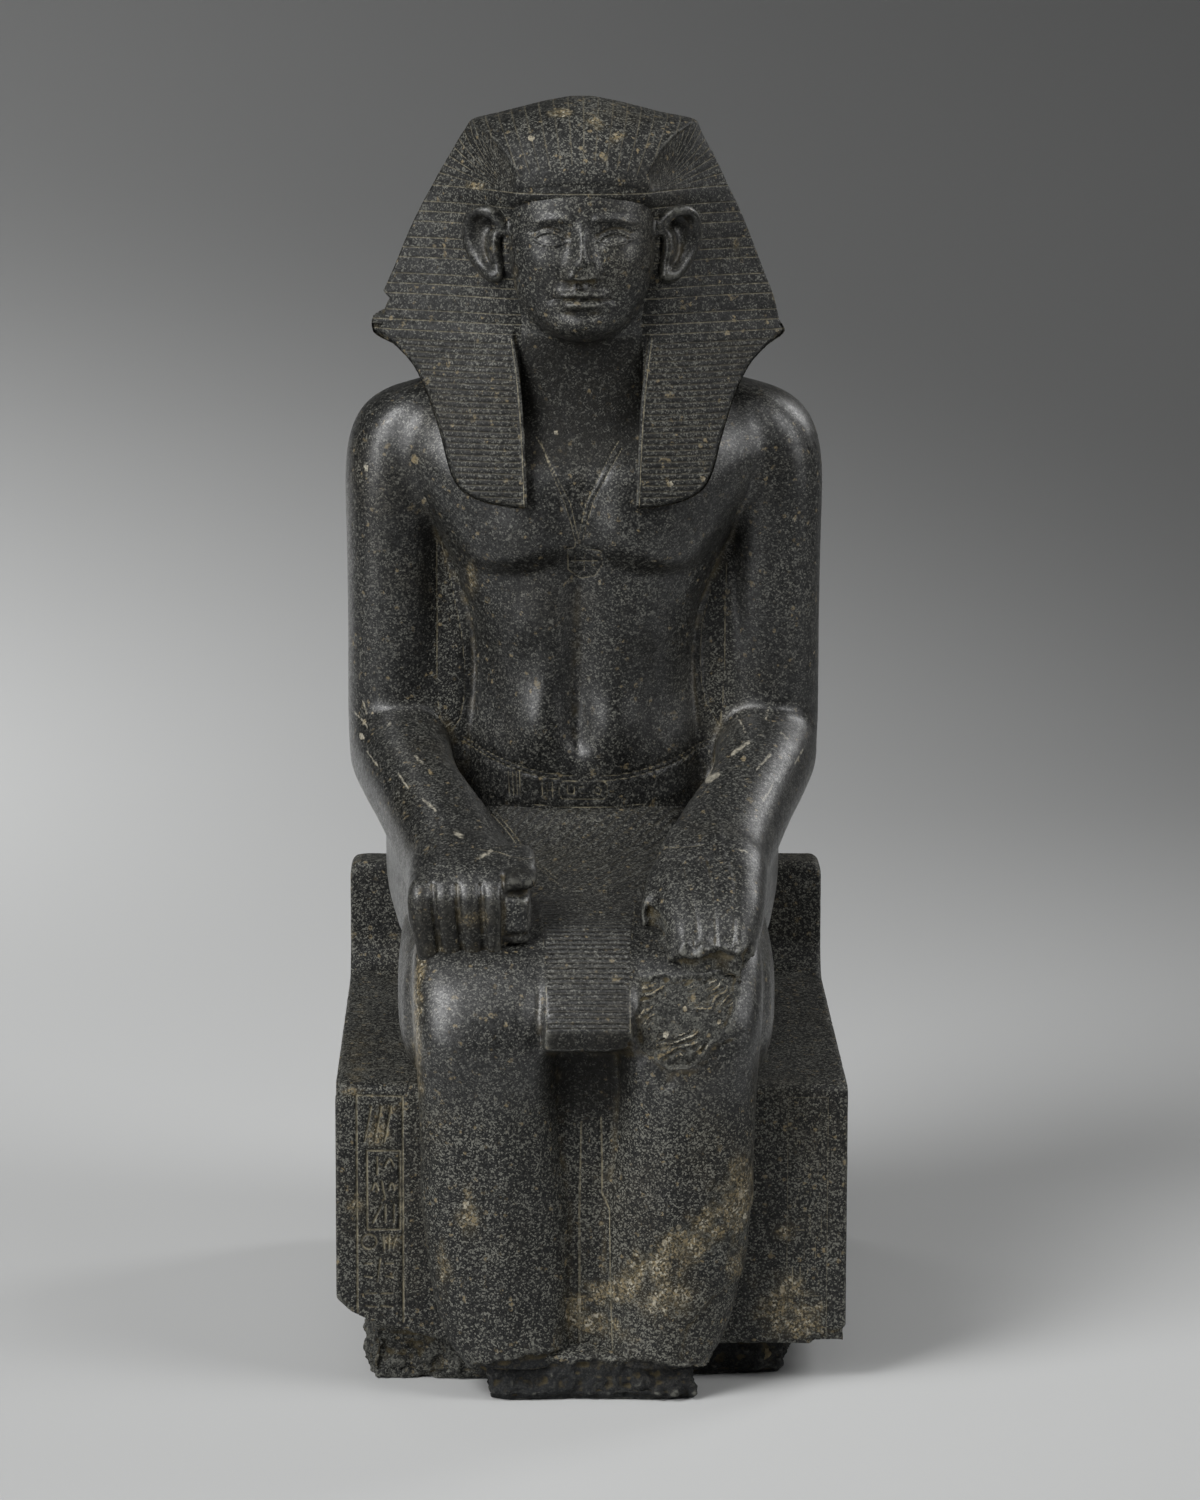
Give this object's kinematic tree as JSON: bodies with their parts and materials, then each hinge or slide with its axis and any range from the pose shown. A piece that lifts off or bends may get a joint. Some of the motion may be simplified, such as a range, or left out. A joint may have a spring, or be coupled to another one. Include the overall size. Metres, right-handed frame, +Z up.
{
  "type": "seated pharaoh statue",
  "caption": "Seated ancient Egyptian king in striped headcloth and pleated kilt, hands on his lap, carved in one with a block throne and its broken base, in dark stone.",
  "frame": {"origin": "on the floor, under the middle of the statue's bounding box", "axes": "+Z up along the statue's height, -Y the way it looks, +X to the viewer's right"},
  "size_m": [0.216, 0.2926, 0.5342],
  "materials": {
    "granodiorite": "dark grey-green stone with a worn satin polish, pale mineral flecks and rough breaks"
  },
  "bodies": {
    "root": {"statue": "granodiorite"}
  },
  "joints": []
}
